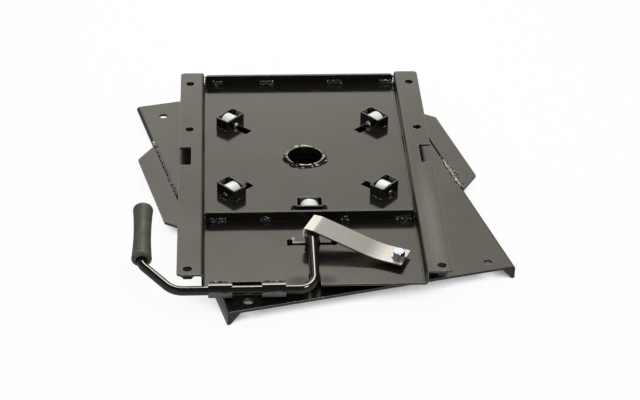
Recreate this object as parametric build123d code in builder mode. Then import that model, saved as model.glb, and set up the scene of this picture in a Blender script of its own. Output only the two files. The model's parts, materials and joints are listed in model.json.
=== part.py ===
"""Swivel seat base for a camper van: a folded seat tray that turns on five rollers over a folded base plate.

Millimetres, +Z up, +Y to the rear. The origin is on the pivot axis at the upper face of the tray floor.
The base plate lies turned under the tray, as it does when the seat is swung a little off its locked position.
"""

import os
from math import cos, radians, sin, tan

from build123d import *

# Sheet metal and fits
SHEET = 3.0
BEND_INNER = 1.8
RUN_GAP = 0.3  # between pieces that slide or roll past each other
BEARING_FIT = 0.1  # radial play of a shaft in its bearing
SEAT_FIT = 0.05  # radial or side play of a piece fixed in its seat

# Seat tray
FLOOR_HALF = 148.5  # pivot axis to the inner face of a side wall
RAIL_WIDTH = 36.0  # inner face of a side wall to the outer edge of its rail
RAIL_RISE = 19.0  # rail top above the floor
TRAY_REAR = 222.5
TRAY_FRONT = -324.5
RAIL_CORNER = 6.0
NOTCH_LENGTH = 49.5
NOTCH_DEPTH = 17.5
NOTCH_Y = -24.0

# Bolt holes in the rails and in the base plate
BOLT_HOLE_D = 13.0
RAIL_HOLE_SIDE = 14.5  # outer edge of a rail to its holes
RAIL_HOLE_FRONT = 13.5  # front end of a rail to its first hole
RAIL_HOLE_REAR = 33.5
RAIL_HOLE_MIDDLE = 171.0  # rear end of a rail to its third hole
NUT_ACROSS = 18.0
NUT_HEIGHT = 7.5
NUT_BORE = 12.5

# Cross bars on the tray floor
BAR_HEIGHT = 15.5
BAR_THICK = 4.0
BAR_CHAMFER = 3.0
BAR_END_GAP = 0.2
FRONT_BAR_Y = -170.5  # front face of the front bar

# Base plate and its wings
PLATE_GAP = 9.5  # tray underside to base plate top
BASE_SHEET = 4.0
BASE_BEND_INNER = 1.0
BASE_HOLE_PITCH = 503.0  # front to rear bolt holes
BASE_SIDE = 33.5  # bolt holes to the folded side of the plate
BASE_REAR_EDGE = 37.5  # bolt holes to the rear edge
BASE_FRONT_EDGE = 17.5
BASE_DEPTH = 20.5  # plate top to the lower edge of its side flanges
FLANGE_REAR_Y = 85.0  # rear end of the deep part of a side flange
FLANGE_RUNOUT = 15.0
LIP_DEPTH = 6.0  # shallow rear part of a side flange
BASE_TURN = 14.0  # degrees that the base lies turned under the tray
CORNER_RETURN = 14.5
WING_REACH = 30.5
WING_OUTER = 174.0
WING_Y = -8.0
WING_DROP = 0.5  # wing top below the plate top

# Pivot
PIVOT_BORE = 50.0
PIVOT_WALL = 3.0
RIM_RISE = 3.2  # turned-over rim above the floor
RIM_REACH = 2.5
EAR_REACH = 6.0  # the two pieces of the rim that are bent out furthest
EAR_SPAN = 22.0
EAR_ANGLES = (191, 341)
PETAL_SLIT = 2.0
PETAL_ANGLES = (58, 104, 178, 217, 246, 294, 354)

# Rollers and their housings
ROLLER_CIRCLE = 146.0  # radius on which the rollers run
ROLLER_D = 28.0
ROLLER_WIDTH = 18.5
ROLLER_CHAMFER = 1.2
AXLE_D = 8.0
AXLE_HEAD_D = 12.0
AXLE_HEAD = 4.0
RIVET_HEAD_D = 10.5
RIVET_HEAD = 2.5
HEAD_CHAMFER = 1.4
HOUSING_LENGTH = 38.5
HOUSING_WIDTH = 24.5
HOUSING_WALL = 2.0
HOUSING_CORNER = 3.0
HOUSING_RISE = 16.5
AXLE_SLOT_WIDTH = 14.0
AXLE_SLOT_INNER = 108.5  # pivot axis to the inner end of an axle slot
AXLE_RELIEF = 2.5  # floor cut-out beyond the outer end of an axle
STATIONS = {  # degrees round the pivot axis
    "rear_right": 41.5, "rear_left": 138.5, "front_left": 221.5, "front_right": 318.5, "front_centre": 270.0,
}

# Release lever
LEVER_D = 12.7
LEVER_TILT = 10.5  # degrees that the lever rises to the rear
BEARING_D = 20.0
BEARING_LENGTH = 31.7
BEARING_INSETS = (21.7, 93.2)  # left side wall to the middle of each bearing
BEARING_ROOT = 0.1  # weld root gap to the floor edge
BEARING_RELIEF = 9.0  # depth of the floor relief between the bearings
ARM_BEND = 21.0
ARM_PAST_BLADE = 2.0
ARM_NOTCH_PLAY = 1.5  # each side of the arm where it passes the floor edge
CRANK_OUT = 4.5  # left rail to the corner of the crank
CRANK_BEND = 30.0
GRIP_OUT = 47.5  # left rail to the grip's axis
GRIP_BEND = 18.0
CRANK_REACH = 50.0
GRIP_NEAR = 58.0
GRIP_LENGTH = 101.0
GRIP_END_D = 28.5
GRIP_WAIST_D = 24.0
GRIP_ROUND = 4.0
GRIP_CAP = 9.0  # closed end of the grip beyond the bar
GRIP_MOUTH_D = 16.5  # funnel where the bar enters the grip
GRIP_MOUTH_DEPTH = 5.0

# Locking blade and its slots
LOCK_Y = -228.0
BLADE_WIDTH = 50.0
BLADE_THICK = 4.5
BLADE_NECK = 14.0
BLADE_SHOULDER = 3.5  # neck foot below the floor
LOCK_SLOT_WIDTH = 69.0
LOCK_SLOT_PLAY = 1.0  # each side of the blade's thickness
LOCK_RELIEF_D = 8.0
LOCK_RELIEF_BACK = 9.0
KEEPER_PLAY = 0.6  # round the blade in the base plate

# Leaf spring
SPRING_WIDTH = 38.0
SPRING_THICK = 2.5
SPRING_END_X = 125.0
SPRING_END_Y = -277.0
SPRING_ANGLE = 155.0  # degrees in plan, from the bolted end to the lever arm
SPRING_KNEE = 40.0
SPRING_KNEE_R = 140.0
SPRING_LENGTH = 141.5
SPRING_CREASE = 11.5  # lip end back to the crease
SPRING_CREASE_R = 6.0
SPRING_LIP = 11.0
SPRING_LIP_R = 1.5
SPRING_BOLT = 10.5  # bolted end to the bolt's axis
SPRING_NUT = 6.0  # nut on the floor that the spring lies on
BOLT_D = 10.0
BOLT_ACROSS = 16.0
BOLT_HEAD = 6.4
WASHER_D = 20.0
WASHER_THICK = 2.0
BOLT_TAIL = 1.5
THREAD_PLAY = 0.05

# Places that follow from the sizes above
BASE_TOP = -SHEET - PLATE_GAP
RAIL_HALF = FLOOR_HALF + RAIL_WIDTH
BOLT_SPACING_X = 2 * (RAIL_HALF - RAIL_HOLE_SIDE)
BOLT_FRONT_Y = TRAY_FRONT + RAIL_HOLE_FRONT
BOLT_REAR_Y = TRAY_REAR - RAIL_HOLE_REAR
BOLT_SPACING_Y = BOLT_REAR_Y - BOLT_FRONT_Y
MIDDLE_HOLE_Y = TRAY_REAR - RAIL_HOLE_MIDDLE
PATTERN_Y = (BOLT_FRONT_Y + BOLT_REAR_Y) / 2
BASE_PATTERN_Y = BOLT_FRONT_Y + BASE_HOLE_PITCH / 2
BASE_HALF = BOLT_SPACING_X / 2 + BASE_SIDE
BASE_REAR = BOLT_FRONT_Y + BASE_HOLE_PITCH + BASE_REAR_EDGE
BASE_FRONT = BOLT_FRONT_Y - BASE_FRONT_EDGE
BEARING_X = [inset - FLOOR_HALF for inset in BEARING_INSETS]
CRANK_X = -RAIL_HALF - CRANK_OUT
GRIP_X = -RAIL_HALF - GRIP_OUT
PIVOT_R = PIVOT_BORE / 2 + PIVOT_WALL
AXLE_Z = BASE_TOP + RUN_GAP + ROLLER_D / 2
LEVER_Y = TRAY_FRONT - BEARING_ROOT - BEARING_D / 2
LEVER_PLANE = Plane(
    origin=(0, LEVER_Y, 0),
    x_dir=(1, 0, 0),
    z_dir=(0, -sin(radians(LEVER_TILT)), cos(radians(LEVER_TILT))),
)
ARM_CLEAR_Y = LEVER_Y + (LEVER_D / 2 / cos(radians(LEVER_TILT)) + RUN_GAP) / tan(radians(LEVER_TILT))
ARM_END = (LOCK_Y + BLADE_THICK / 2 + ARM_PAST_BLADE - LEVER_Y) / cos(radians(LEVER_TILT))
SPRING_PLANE = Plane(
    origin=(SPRING_END_X, SPRING_END_Y, 0),
    x_dir=(cos(radians(SPRING_ANGLE)), sin(radians(SPRING_ANGLE)), 0),
    z_dir=(sin(radians(SPRING_ANGLE)), -cos(radians(SPRING_ANGLE)), 0),
)
BOLT_PLACE = (
    SPRING_END_X + SPRING_BOLT * cos(radians(SPRING_ANGLE)),
    SPRING_END_Y + SPRING_BOLT * sin(radians(SPRING_ANGLE)),
)


def keep(name, part):
    """Labels a finished piece and writes it."""
    part.label = name
    export_step(part, f"parts/{name}.step")


def bend_folds(sketch, inner, outer, bend, sheet):
    """Rounds a folded sheet's profile: inner and outer are the corners of each fold."""
    for corners, radius in ((inner, bend), (outer, bend + sheet)):
        at = [v for v in sketch.vertices() if (round(v.X, 3), round(v.Y, 3)) in corners]
        fillet(at, radius)


def rounded(points):
    """Corner points as they compare in bend_folds."""
    return {(round(x, 3), round(y, 3)) for x, y in points}


def outward(angle, distance):
    """Plane across a radius at this distance from the pivot axis, at the axle's height."""
    turn = radians(angle)
    way = (cos(turn), sin(turn), 0)
    place = (distance * way[0], distance * way[1], AXLE_Z)
    return Plane(origin=place, x_dir=(-way[1], way[0], 0), z_dir=way)


def level(angle, distance, height):
    """Level plane at a roller station: local X runs along the circle, local Y towards the pivot."""
    turn = radians(angle)
    place = (distance * cos(turn), distance * sin(turn), height)
    return Plane(origin=place, x_dir=(-sin(turn), cos(turn), 0), z_dir=(0, 0, 1))


def seat_tray():
    rise, wall = RAIL_RISE, FLOOR_HALF + SHEET
    with BuildPart() as tray:
        with BuildSketch(Plane.XZ.offset(-TRAY_REAR)) as section:
            with BuildLine():
                Polyline(
                    (RAIL_HALF, rise), (FLOOR_HALF, rise), (FLOOR_HALF, 0), (-FLOOR_HALF, 0),
                    (-FLOOR_HALF, rise), (-RAIL_HALF, rise), (-RAIL_HALF, rise - SHEET),
                    (-wall, rise - SHEET), (-wall, -SHEET), (wall, -SHEET), (wall, rise - SHEET),
                    (RAIL_HALF, rise - SHEET), close=True,
                )
            make_face()
            inner = [(s * FLOOR_HALF, 0) for s in (1, -1)] + [(s * wall, rise - SHEET) for s in (1, -1)]
            outer = [(s * FLOOR_HALF, rise) for s in (1, -1)] + [(s * wall, -SHEET) for s in (1, -1)]
            bend_folds(section, rounded(inner), rounded(outer), BEND_INNER, SHEET)
        extrude(amount=TRAY_REAR - TRAY_FRONT)
        fillet(tray.edges().filter_by(Axis.Z).filter_by(lambda e: abs(e.center().X) > wall), RAIL_CORNER)
        # Bolt holes and side notches in the rails
        with BuildSketch(Plane.XY.offset(rise)):
            with Locations((0, PATTERN_Y)):
                with GridLocations(BOLT_SPACING_X, BOLT_SPACING_Y, 2, 2):
                    Circle(BOLT_HOLE_D / 2)
            with Locations((0, MIDDLE_HOLE_Y)):
                with GridLocations(BOLT_SPACING_X, 0, 2, 1):
                    Circle(BOLT_HOLE_D / 2)
            with Locations((RAIL_HALF, NOTCH_Y), (-RAIL_HALF, NOTCH_Y)):
                Rectangle(2 * NOTCH_DEPTH, NOTCH_LENGTH)
        extrude(amount=-SHEET, mode=Mode.SUBTRACT)
        # Pivot hole, lock slot with its two reliefs, spring bolt hole and relief between the lever bearings
        with BuildSketch(Plane.XY):
            Circle(PIVOT_R + BEARING_FIT)
            with Locations((0, LOCK_Y)):
                Rectangle(LOCK_SLOT_WIDTH, BLADE_THICK + 2 * LOCK_SLOT_PLAY)
            for side in (1, -1):
                relief_x = side * (LOCK_SLOT_WIDTH - LOCK_RELIEF_D) / 2
                with Locations((relief_x, LOCK_Y + LOCK_RELIEF_BACK / 2)):
                    SlotOverall(LOCK_RELIEF_BACK + LOCK_RELIEF_D, LOCK_RELIEF_D, rotation=90)
            with Locations(BOLT_PLACE):
                Circle(BOLT_D / 2 + THREAD_PLAY)
            with Locations((sum(BEARING_X) / 2, TRAY_FRONT)):
                Rectangle(BEARING_X[1] - BEARING_X[0] - BEARING_LENGTH, 2 * BEARING_RELIEF)
            # Notch for the lever arm, widened at the edge for its bend
            side = LEVER_D / 2 + ARM_NOTCH_PLAY
            with BuildLine():
                Polyline(
                    (side, TRAY_FRONT), (side, ARM_CLEAR_Y), (-side, ARM_CLEAR_Y),
                    (-side, TRAY_FRONT + ARM_BEND / 2), (-side - ARM_BEND / 2, TRAY_FRONT), close=True,
                )
            make_face()
        extrude(amount=-SHEET, mode=Mode.SUBTRACT)
        # Roller housing openings, each with its axle slot
        for angle in STATIONS.values():
            with BuildSketch(level(angle, ROLLER_CIRCLE, 0)):
                RectangleRounded(
                    HOUSING_LENGTH + 2 * SEAT_FIT, HOUSING_WIDTH + 2 * SEAT_FIT, HOUSING_CORNER + SEAT_FIT
                )
                reach = HOUSING_WIDTH / 2 + RIVET_HEAD + AXLE_RELIEF
                inward = ROLLER_CIRCLE - AXLE_SLOT_INNER
                with Locations((0, (inward - reach) / 2)):
                    Rectangle(AXLE_SLOT_WIDTH, inward + reach)
            extrude(amount=-SHEET, mode=Mode.SUBTRACT)
    keep("seat_tray", tray.part)


def cross_bar(name, front_face):
    half = FLOOR_HALF - BEND_INNER - BAR_END_GAP
    with BuildPart() as bar:
        with BuildSketch(Plane.XZ.offset(-front_face - BAR_THICK)) as face:
            Rectangle(2 * half, BAR_HEIGHT, align=(Align.CENTER, Align.MIN))
            chamfer(face.vertices().group_by(Axis.Y)[-1], BAR_CHAMFER)
        extrude(amount=BAR_THICK)
    keep(name, bar.part)


def rail_nuts():
    with BuildPart() as nuts:
        with BuildSketch(Plane.XY.offset(RAIL_RISE - SHEET)):
            with Locations((0, PATTERN_Y)):
                with GridLocations(BOLT_SPACING_X, BOLT_SPACING_Y, 2, 2):
                    RegularPolygon(NUT_ACROSS / 2, 6, major_radius=False)
                    Circle(NUT_BORE / 2, mode=Mode.SUBTRACT)
            with Locations((0, MIDDLE_HOLE_Y)):
                with GridLocations(BOLT_SPACING_X, 0, 2, 1):
                    RegularPolygon(NUT_ACROSS / 2, 6, major_radius=False)
                    Circle(NUT_BORE / 2, mode=Mode.SUBTRACT)
        extrude(amount=-NUT_HEIGHT)
    keep("rail_nuts", nuts.part)


def roller_housing(name, angle):
    with BuildPart() as housing:
        with BuildSketch(level(angle, ROLLER_CIRCLE, -SHEET)):
            RectangleRounded(HOUSING_LENGTH, HOUSING_WIDTH, HOUSING_CORNER)
            RectangleRounded(
                HOUSING_LENGTH - 2 * HOUSING_WALL, HOUSING_WIDTH - 2 * HOUSING_WALL,
                HOUSING_CORNER - HOUSING_WALL, mode=Mode.SUBTRACT,
            )
        extrude(amount=SHEET + HOUSING_RISE)
        with BuildSketch(outward(angle, ROLLER_CIRCLE)):
            Circle(AXLE_D / 2 + SEAT_FIT)
        extrude(amount=HOUSING_WIDTH, both=True, mode=Mode.SUBTRACT)
    keep(f"roller_housing_{name}", housing.part)


def roller(name, angle):
    with BuildPart() as wheel:
        with BuildSketch(outward(angle, ROLLER_CIRCLE)):
            Circle(ROLLER_D / 2)
            Circle(AXLE_D / 2 + BEARING_FIT, mode=Mode.SUBTRACT)
        extrude(amount=ROLLER_WIDTH / 2, both=True)
        chamfer(wheel.edges().filter_by(GeomType.CIRCLE).group_by(SortBy.RADIUS)[-1], ROLLER_CHAMFER)
    keep(f"roller_{name}", wheel.part)


def roller_axle(name, angle):
    inner = ROLLER_CIRCLE - HOUSING_WIDTH / 2 - SEAT_FIT
    outer = ROLLER_CIRCLE + HOUSING_WIDTH / 2 + SEAT_FIT
    with BuildPart() as axle:
        with BuildSketch(outward(angle, inner - AXLE_HEAD)):
            Circle(AXLE_HEAD_D / 2)
        extrude(amount=AXLE_HEAD)
        with BuildSketch(outward(angle, outer)):
            Circle(RIVET_HEAD_D / 2)
        extrude(amount=RIVET_HEAD)
        around = Axis((0, 0, AXLE_Z), (cos(radians(angle)), sin(radians(angle)), 0))
        rims = axle.edges().filter_by(GeomType.CIRCLE).sort_by(around)
        chamfer([rims[0], rims[-1]], HEAD_CHAMFER)
        with BuildSketch(outward(angle, inner)):
            Circle(AXLE_D / 2)
        extrude(amount=outer - inner)
    keep(f"roller_axle_{name}", axle.part)


def base_plate():
    wall, low, high = BASE_HALF - BASE_SHEET, BASE_TOP - BASE_DEPTH, BASE_TOP - BASE_SHEET
    with BuildPart() as plate:
        with BuildSketch(Plane.XZ.offset(-BASE_REAR)) as section:
            with BuildLine():
                Polyline(
                    (-BASE_HALF, low), (-BASE_HALF, BASE_TOP), (BASE_HALF, BASE_TOP), (BASE_HALF, low),
                    (wall, low), (wall, high), (-wall, high), (-wall, low), close=True,
                )
            make_face()
            inner = [(s * wall, high) for s in (1, -1)]
            outer = [(s * BASE_HALF, BASE_TOP) for s in (1, -1)]
            bend_folds(section, rounded(inner), rounded(outer), BASE_BEND_INNER, BASE_SHEET)
        extrude(amount=BASE_REAR - BASE_FRONT)
        # The side flanges run out to a shallow lip at the rear
        with BuildSketch(Plane.YZ):
            with BuildLine():
                Polyline(
                    (FLANGE_REAR_Y, low), (FLANGE_REAR_Y + FLANGE_RUNOUT, BASE_TOP - LIP_DEPTH),
                    (BASE_REAR, BASE_TOP - LIP_DEPTH), (BASE_REAR, low), close=True,
                )
            make_face()
        extrude(amount=BASE_HALF, both=True, mode=Mode.SUBTRACT)
        # Three-cornered returns that close the front corners
        with BuildSketch(Plane.XZ.offset(-BASE_FRONT - BASE_SHEET)):
            for side in (1, -1):
                with BuildLine():
                    Polyline(
                        (side * wall, low), (side * wall, high), (side * (wall - CORNER_RETURN), high),
                        close=True,
                    )
                make_face()
        extrude(amount=BASE_SHEET)
        # Pivot hole, four bolt holes and the keeper slot for the locking blade
        with BuildSketch(Plane.XY.offset(BASE_TOP)):
            Circle(PIVOT_R + SEAT_FIT)
            with Locations((0, BASE_PATTERN_Y)):
                with GridLocations(BOLT_SPACING_X, BASE_HOLE_PITCH, 2, 2):
                    Circle(BOLT_HOLE_D / 2)
            with Locations((0, LOCK_Y)):
                Rectangle(BLADE_WIDTH + 2 * KEEPER_PLAY, BLADE_THICK + 2 * KEEPER_PLAY)
        extrude(amount=-BASE_SHEET, mode=Mode.SUBTRACT)
    keep("base_plate", plate.part.rotate(Axis.Z, BASE_TURN))


def wing(name, side):
    inner, outer = BASE_HALF + SEAT_FIT, BASE_HALF + WING_REACH
    half = WING_OUTER / 2
    with BuildPart() as plate:
        with BuildSketch(Plane.XY.offset(BASE_TOP - WING_DROP)):
            with BuildLine():
                Polyline(
                    (side * inner, WING_Y + half + WING_REACH), (side * outer, WING_Y + half),
                    (side * outer, WING_Y - half), (side * inner, WING_Y - half - WING_REACH), close=True,
                )
            make_face()
        extrude(amount=-BASE_SHEET)
    keep(name, plate.part.rotate(Axis.Z, BASE_TURN))


def pivot_tube():
    bore = PIVOT_BORE / 2
    lip = PIVOT_R + RIM_REACH
    ear = PIVOT_R + EAR_REACH
    with BuildPart() as tube:
        with BuildSketch(Plane.XZ):
            with BuildLine():
                Polyline(
                    (bore, BASE_TOP - BASE_SHEET), (PIVOT_R, BASE_TOP - BASE_SHEET), (PIVOT_R, RUN_GAP),
                    (lip, RUN_GAP), (lip, RIM_RISE / 2), (lip - PIVOT_WALL / 2, RIM_RISE),
                    (bore + PIVOT_WALL / 2, RIM_RISE), (bore, RUN_GAP), close=True,
                )
            make_face()
        revolve(axis=Axis.Z)
        for angle in EAR_ANGLES:
            with BuildSketch(Plane.XZ.rotated((0, 0, angle - EAR_SPAN / 2))):
                with BuildLine():
                    Polyline(
                        (PIVOT_R, RUN_GAP), (ear, RUN_GAP), (ear, RIM_RISE / 2), (lip, RIM_RISE),
                        (PIVOT_R, RIM_RISE), close=True,
                    )
                make_face()
            revolve(axis=Axis.Z, revolution_arc=EAR_SPAN)
        # Slits that part the rim into petals
        with BuildSketch(Plane.XY.offset(RUN_GAP)):
            for angle in PETAL_ANGLES:
                with PolarLocations((bore + ear) / 2, 1, start_angle=angle):
                    Rectangle(ear - bore + PIVOT_WALL, PETAL_SLIT)
        extrude(amount=RIM_RISE, mode=Mode.SUBTRACT)
    keep("pivot_tube", tube.part)


def lever_bearing(name, middle):
    with BuildPart() as bearing:
        with BuildSketch(Plane(origin=(middle, LEVER_Y, 0), x_dir=(0, 1, 0), z_dir=(1, 0, 0))):
            Circle(BEARING_D / 2)
            Circle(LEVER_D / 2 + BEARING_FIT, mode=Mode.SUBTRACT)
        extrude(amount=BEARING_LENGTH / 2, both=True)
    keep(name, bearing.part)


def lever_bar():
    handle_end = GRIP_NEAR + GRIP_LENGTH - GRIP_CAP
    with BuildPart() as bar:
        with BuildLine(LEVER_PLANE) as path:
            FilletPolyline(
                (0, ARM_END), (0, 0), (CRANK_X, 0), (GRIP_X, CRANK_REACH), (GRIP_X, handle_end),
                radius=(ARM_BEND, CRANK_BEND, GRIP_BEND),
            )
        with BuildSketch(Plane(origin=path.line @ 0, z_dir=path.line % 0)):
            Circle(LEVER_D / 2)
        sweep()
    keep("lever_bar", bar.part)


def lever_grip():
    near, far = GRIP_NEAR, GRIP_NEAR + GRIP_LENGTH
    end, waist, bore = GRIP_END_D / 2, GRIP_WAIST_D / 2, LEVER_D / 2 + SEAT_FIT
    mouth = GRIP_MOUTH_D / 2
    with BuildPart() as grip:
        with BuildSketch(LEVER_PLANE) as profile:
            with BuildLine():
                Polyline((GRIP_X, far - GRIP_CAP + SEAT_FIT), (GRIP_X, far), (GRIP_X - end, far))
                Polyline(
                    (GRIP_X - end, near), (GRIP_X - mouth, near), (GRIP_X - bore, near + GRIP_MOUTH_DEPTH),
                    (GRIP_X - bore, far - GRIP_CAP + SEAT_FIT), (GRIP_X, far - GRIP_CAP + SEAT_FIT),
                )
                ThreePointArc((GRIP_X - end, far), (GRIP_X - waist, (near + far) / 2), (GRIP_X - end, near))
            make_face()
            rim = profile.vertices().group_by(Axis.X)[0]
            fillet(rim, GRIP_ROUND)
        axis = Axis(LEVER_PLANE.from_local_coords((GRIP_X, 0, 0)), LEVER_PLANE.y_dir)
        revolve(axis=axis)
    keep("lever_grip", grip.part)


def locking_blade():
    tip = BASE_TOP + RUN_GAP
    top = (LOCK_Y - LEVER_Y) * tan(radians(LEVER_TILT))
    with BuildPart() as blade:
        with BuildSketch(Plane.XZ.offset(-LOCK_Y)):
            with Locations((0, tip)):
                Rectangle(BLADE_WIDTH, -tip - BLADE_SHOULDER, align=(Align.CENTER, Align.MIN))
                Rectangle(BLADE_NECK, top - tip, align=(Align.CENTER, Align.MIN))
        extrude(amount=BLADE_THICK / 2, both=True)
        # Saddle for the lever arm
        with BuildSketch(Plane(origin=LEVER_PLANE.origin, z_dir=LEVER_PLANE.y_dir)):
            Circle(LEVER_D / 2 + SEAT_FIT)
        extrude(amount=2 * ARM_END, mode=Mode.SUBTRACT)
    keep("locking_blade", blade.part)


def leaf_spring():
    arm_top = ARM_END * sin(radians(LEVER_TILT)) + LEVER_D / 2 * cos(radians(LEVER_TILT))
    crest = arm_top + RUN_GAP
    with BuildPart() as spring:
        with BuildSketch(SPRING_PLANE):
            with BuildLine():
                FilletPolyline(
                    (0, SPRING_NUT), (SPRING_KNEE, SPRING_NUT), (SPRING_LENGTH - SPRING_CREASE, crest),
                    (SPRING_LENGTH, crest), (SPRING_LENGTH, crest - SPRING_LIP),
                    radius=(SPRING_KNEE_R, SPRING_CREASE_R, SPRING_LIP_R),
                )
                offset(amount=SPRING_THICK, side=Side.LEFT)
            make_face()
        extrude(amount=SPRING_WIDTH / 2, both=True)
        with BuildSketch(Plane.XY.offset(SPRING_NUT)):
            with Locations(BOLT_PLACE):
                Circle(BOLT_D / 2 + THREAD_PLAY)
        extrude(amount=SPRING_THICK, mode=Mode.SUBTRACT)
    keep("leaf_spring", spring.part)


def spring_fastening():
    seat = SPRING_NUT + SPRING_THICK + WASHER_THICK
    tail = -SHEET - BOLT_TAIL
    with BuildPart() as washer:
        with BuildSketch(Plane.XY.offset(seat - WASHER_THICK)):
            with Locations(BOLT_PLACE):
                Circle(WASHER_D / 2)
                Circle(BOLT_D / 2 + THREAD_PLAY, mode=Mode.SUBTRACT)
        extrude(amount=WASHER_THICK)
    keep("spring_washer", washer.part)
    with BuildPart() as bolt:
        with BuildSketch(Plane.XY.offset(seat)):
            with Locations(BOLT_PLACE):
                RegularPolygon(BOLT_ACROSS / 2, 6, major_radius=False)
        extrude(amount=BOLT_HEAD)
        with BuildSketch(Plane.XY.offset(tail)):
            with Locations(BOLT_PLACE):
                Circle(BOLT_D / 2)
        extrude(amount=seat - tail)
    keep("spring_bolt", bolt.part)
    with BuildPart() as nut:
        with BuildSketch(Plane.XY):
            with Locations(BOLT_PLACE):
                RegularPolygon(BOLT_ACROSS / 2, 6, major_radius=False)
                Circle(BOLT_D / 2 + THREAD_PLAY, mode=Mode.SUBTRACT)
        extrude(amount=SPRING_NUT)
    keep("spring_nut", nut.part)


os.makedirs("parts", exist_ok=True)
seat_tray()
cross_bar("rear_cross_bar", TRAY_REAR - BAR_THICK)
cross_bar("front_cross_bar", FRONT_BAR_Y)
rail_nuts()
for station, bearing_angle in STATIONS.items():
    roller_housing(station, bearing_angle)
    roller(station, bearing_angle)
    roller_axle(station, bearing_angle)
base_plate()
wing("wing_left", -1)
wing("wing_right", 1)
pivot_tube()
lever_bearing("lever_bearing_left", BEARING_X[0])
lever_bearing("lever_bearing_right", BEARING_X[1])
lever_bar()
lever_grip()
locking_blade()
leaf_spring()
spring_fastening()
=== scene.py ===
"""Looks of the swivel seat base: paint, bare metal, welds, spring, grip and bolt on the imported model.

Metres, +Z up, +Y to the rear, with the origin on the pivot axis at the upper face of the tray floor.
"""

import json
import math

import bmesh
import bpy
from mathutils import Matrix, Vector


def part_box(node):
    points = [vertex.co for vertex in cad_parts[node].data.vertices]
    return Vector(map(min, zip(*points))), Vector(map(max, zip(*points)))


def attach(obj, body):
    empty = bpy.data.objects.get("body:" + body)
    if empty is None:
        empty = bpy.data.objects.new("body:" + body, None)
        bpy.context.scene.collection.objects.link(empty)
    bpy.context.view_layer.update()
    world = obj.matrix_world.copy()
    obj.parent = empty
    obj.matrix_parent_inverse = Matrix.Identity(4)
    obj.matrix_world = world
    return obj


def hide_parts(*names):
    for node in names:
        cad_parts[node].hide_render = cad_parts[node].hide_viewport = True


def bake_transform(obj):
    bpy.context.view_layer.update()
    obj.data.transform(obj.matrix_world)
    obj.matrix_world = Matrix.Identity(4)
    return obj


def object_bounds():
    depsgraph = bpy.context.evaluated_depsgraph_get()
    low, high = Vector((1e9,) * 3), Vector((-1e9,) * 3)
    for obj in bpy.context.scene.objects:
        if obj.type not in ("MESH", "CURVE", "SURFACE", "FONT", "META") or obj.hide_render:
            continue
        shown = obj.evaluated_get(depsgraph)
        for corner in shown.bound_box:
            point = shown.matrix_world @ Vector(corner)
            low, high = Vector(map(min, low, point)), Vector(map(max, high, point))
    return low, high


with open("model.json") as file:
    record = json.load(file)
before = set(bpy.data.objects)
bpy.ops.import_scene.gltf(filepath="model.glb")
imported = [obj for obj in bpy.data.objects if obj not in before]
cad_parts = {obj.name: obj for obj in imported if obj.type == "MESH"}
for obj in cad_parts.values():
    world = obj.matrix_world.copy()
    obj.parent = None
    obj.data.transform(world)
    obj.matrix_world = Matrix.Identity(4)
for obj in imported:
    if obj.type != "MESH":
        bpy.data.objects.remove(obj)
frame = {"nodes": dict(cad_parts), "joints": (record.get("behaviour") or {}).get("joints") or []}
cad_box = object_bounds()

MM = 0.001
WHITE = (1.0, 1.0, 1.0, 1.0)
NODES = frame["nodes"]
JOINTS = {joint["name"]: joint for joint in frame["joints"]}
STATIONS = ("rear_right", "rear_left", "front_left", "front_right", "front_centre")

# Camera, fitted to the photograph
CAMERA_PLACE = Vector((-0.1202, -2.3999, 1.4783))
CAMERA_TARGET = Vector((0.0164, -0.1174, 0.0))
CAMERA_ROLL = math.radians(1.097)
CAMERA_LENS = 107.53
SENSOR_WIDTH = 36.0

# Studio
FLOOR_SIZE = 9.0
FLOOR_PALE = (0.9, 0.9, 0.9, 1.0)
FLOOR_ROUGH = 0.9
LAMP_DISTANCE = 1.6
SOFTBOX_WAY = Vector((-0.02, 0.50, 0.866))
SOFTBOX_SIZE = (0.55, 0.60)
SOFTBOX_POWER = 8.5
FRONT_LAMP_WAY = Vector((0.30, -0.35, 0.89))
FRONT_LAMP_SIZE = (0.3, 0.3)
FRONT_LAMP_POWER = 4.5
ROOM_LIGHT = 0.6
DARK_ROOM = 0.05  # how bright gloss finds the room away from its pale rear wall
WALL_MIDDLE = -0.08  # sideways place of the rear wall's middle, as a part of a unit direction
WALL_SIDE = (0.12, 0.66)  # its sideways reach from there, full and faded
WALL_TOP = (0.62, 0.80)  # its upward reach, full and faded
WALL_FOOT = (0.1, 0.5)  # its nearness to straight behind, none and full
WALL_BAND = (0.538, 0.05)  # height and half width of the dimmer band across it
WALL_BRIGHT = (0.92, 0.36, 1.35)  # brightness in the band, rise to its edge, and most of all
FAR_WALLS = (0.10, 0.25)  # how bright gloss finds the front wall and the side walls
FAR_SIDE = (0.15, 0.5)  # where the front wall ends and the side walls begin, sideways
FAR_FOOT = (0.45, 0.1)  # their nearness to straight behind, none and full
FLOOR_GLOW = 0.94  # share of the pale floor that is seen without shade
FLOOR_GLOSS = (0.30, 0.33, 0.37, 1.0)  # how gloss finds the floor
SHADE_REACH = 60.0 * MM  # how far off a part shades the floor under it
SHADE_OPEN = (0.06, 0.30)  # open share of the sky at which the floor shows none and all of its white
PIVOT_SHADE = (55.0 * MM, 120.0 * MM)  # painted shade on the floor by distance from the pivot: none and all of its white

# Base plate and roller housings
BASE_TURN = Matrix.Rotation(math.radians(14.0), 4, "Z")
PLATE_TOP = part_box("base_plate")[1].z
SEAM_X = 203.5 * MM  # where the wings meet the plate, in the plate's own frame
HOUSING_LENGTH = 38.5 * MM
HOUSING_WIDTH = 24.5 * MM

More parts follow.
